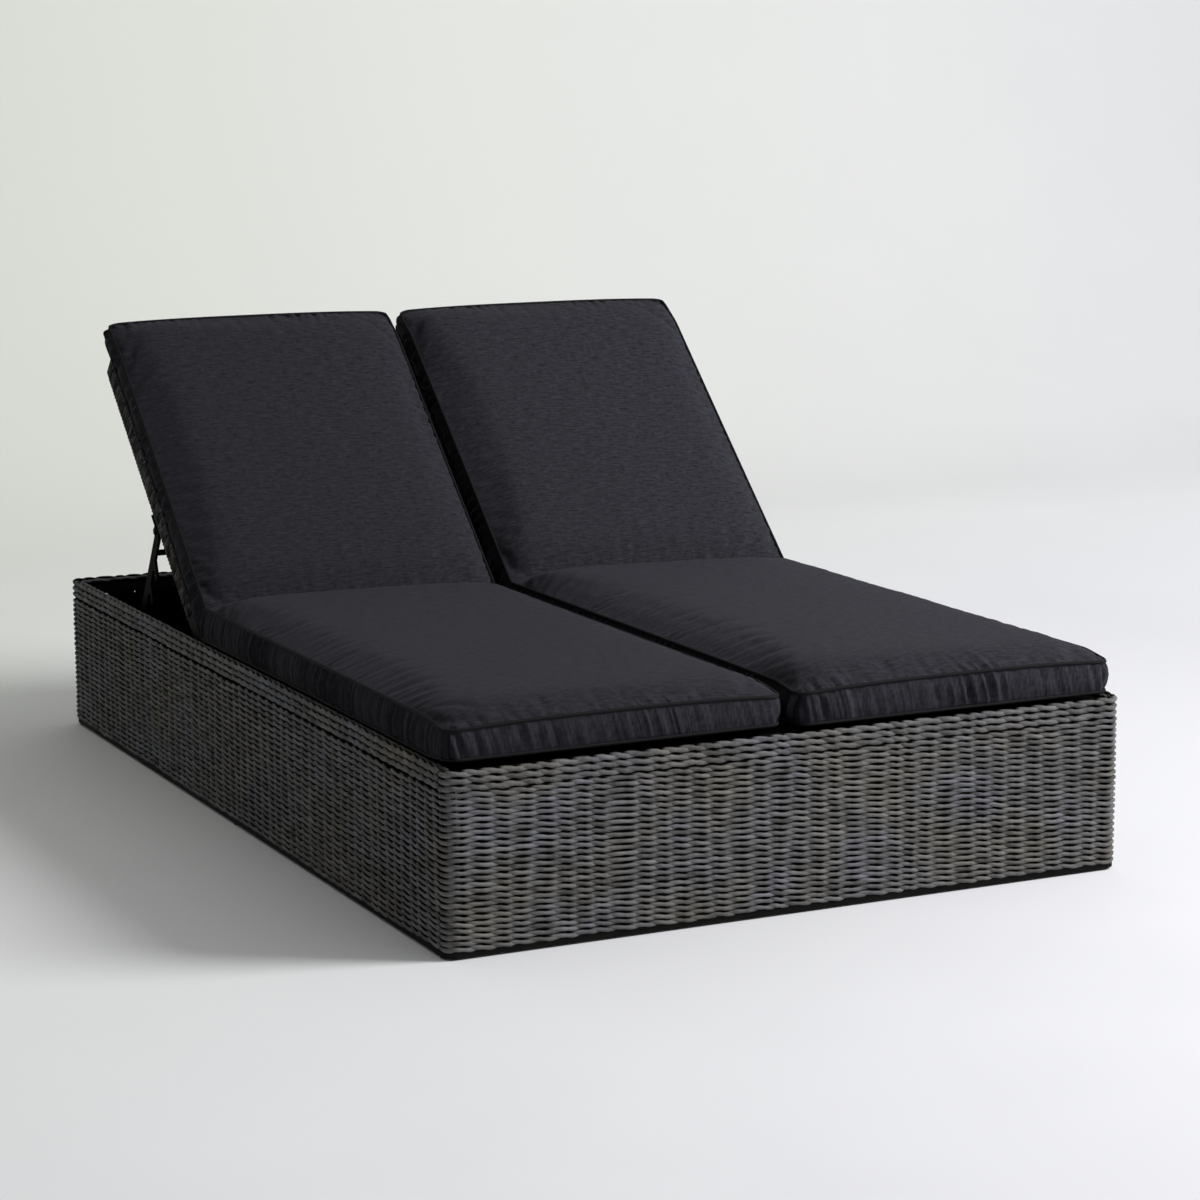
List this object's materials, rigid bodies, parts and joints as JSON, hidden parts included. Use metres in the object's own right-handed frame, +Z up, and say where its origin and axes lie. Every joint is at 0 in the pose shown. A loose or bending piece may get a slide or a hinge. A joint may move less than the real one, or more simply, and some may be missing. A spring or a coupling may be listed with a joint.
{
  "type": "double chaise lounger",
  "caption": "Woven box-base double chaise lounger with two folding cushions and two backs that recline by themselves on claw stays.",
  "frame": {"origin": "middle of the base's footprint, on the floor", "axes": "X is the width, +Y points from the foot end to the head end, +Z is up"},
  "size_m": [1.27, 2, 0.8575],
  "materials": {
    "woven_resin": "hand-woven round resin strand, weathered dark grey, low sheen",
    "frame_metal": "black powder coat",
    "black_steel": "black painted steel",
    "cushion_fabric": "matte woven outdoor fabric, charcoal with a navy cast, piped edges",
    "glide_plastic": "moulded black plastic"
  },
  "bodies": {
    "base": {"bottom_cross_rails": "frame_metal", "centre_bottom_rail": "frame_metal", "centre_posts": "frame_metal", "centre_top_rail": "frame_metal", "floor_glides": "glide_plastic", "foot_bottom_rail": "frame_metal", "foot_top_rail": "frame_metal", "foot_wall_posts": "frame_metal", "foot_woven_rim": "woven_resin", "foot_woven_wall": "woven_resin", "head_bottom_rail": "frame_metal", "head_top_rail": "frame_metal", "head_wall_posts": "frame_metal", "head_woven_rim": "woven_resin", "head_woven_wall": "woven_resin", "hinge_brackets": "black_steel", "hinge_cross_rail": "frame_metal", "hinge_pins": "black_steel", "left_bottom_rail": "frame_metal", "left_seat_cushion": "cushion_fabric", "left_seat_deck": "woven_resin", "left_top_rail": "frame_metal", "left_wall_posts": "frame_metal", "left_woven_rim": "woven_resin", "left_woven_wall": "woven_resin", "right_bottom_rail": "frame_metal", "right_seat_cushion": "cushion_fabric", "right_seat_deck": "woven_resin", "right_top_rail": "frame_metal", "right_wall_posts": "frame_metal", "right_woven_rim": "woven_resin", "right_woven_wall": "woven_resin", "seat_cross_rails": "frame_metal", "stay_studs": "black_steel"},
    "left_back": {"left_back_cushion": "cushion_fabric", "left_back_inner_rail": "frame_metal", "left_back_lower_rail": "frame_metal", "left_back_outer_rail": "frame_metal", "left_back_panel": "woven_resin", "left_back_top_rail": "frame_metal", "left_back_wraps": "woven_resin", "left_stay_brackets": "black_steel", "left_stay_pins": "black_steel"},
    "right_back": {"right_back_cushion": "cushion_fabric", "right_back_inner_rail": "frame_metal", "right_back_lower_rail": "frame_metal", "right_back_outer_rail": "frame_metal", "right_back_panel": "woven_resin", "right_back_top_rail": "frame_metal", "right_back_wraps": "woven_resin", "right_stay_brackets": "black_steel", "right_stay_pins": "black_steel"},
    "left_stay": {"left_inner_stay": "black_steel", "left_outer_stay": "black_steel", "left_stay_tie_rod": "black_steel"},
    "right_stay": {"right_inner_stay": "black_steel", "right_outer_stay": "black_steel", "right_stay_tie_rod": "black_steel"}
  },
  "joints": [
    {"name": "left_recline", "type": "hinge", "parent": "base", "child": "left_back", "pos_m": [-0.31225, 0.215, 0.274], "axis": [1, 0, 0], "range_deg": [-42.5, 12]},
    {"name": "left_stay_swing", "type": "hinge", "parent": "left_back", "child": "left_stay", "pos_m": [-0.31225, 0.5048, 0.4758], "axis": [1, 0, 0], "range_deg": [-22.1, 77]},
    {"name": "right_recline", "type": "hinge", "parent": "base", "child": "right_back", "pos_m": [0.31225, 0.215, 0.274], "axis": [1, 0, 0], "range_deg": [-42.5, 12]},
    {"name": "right_stay_swing", "type": "hinge", "parent": "right_back", "child": "right_stay", "pos_m": [0.31225, 0.5048, 0.4758], "axis": [1, 0, 0], "range_deg": [-22.1, 77]}
  ],
  "couplings": [
    {"joint": "left_stay_swing", "follows": "left_recline", "ratio": -1.8},
    {"joint": "right_stay_swing", "follows": "right_recline", "ratio": -1.8}
  ]
}
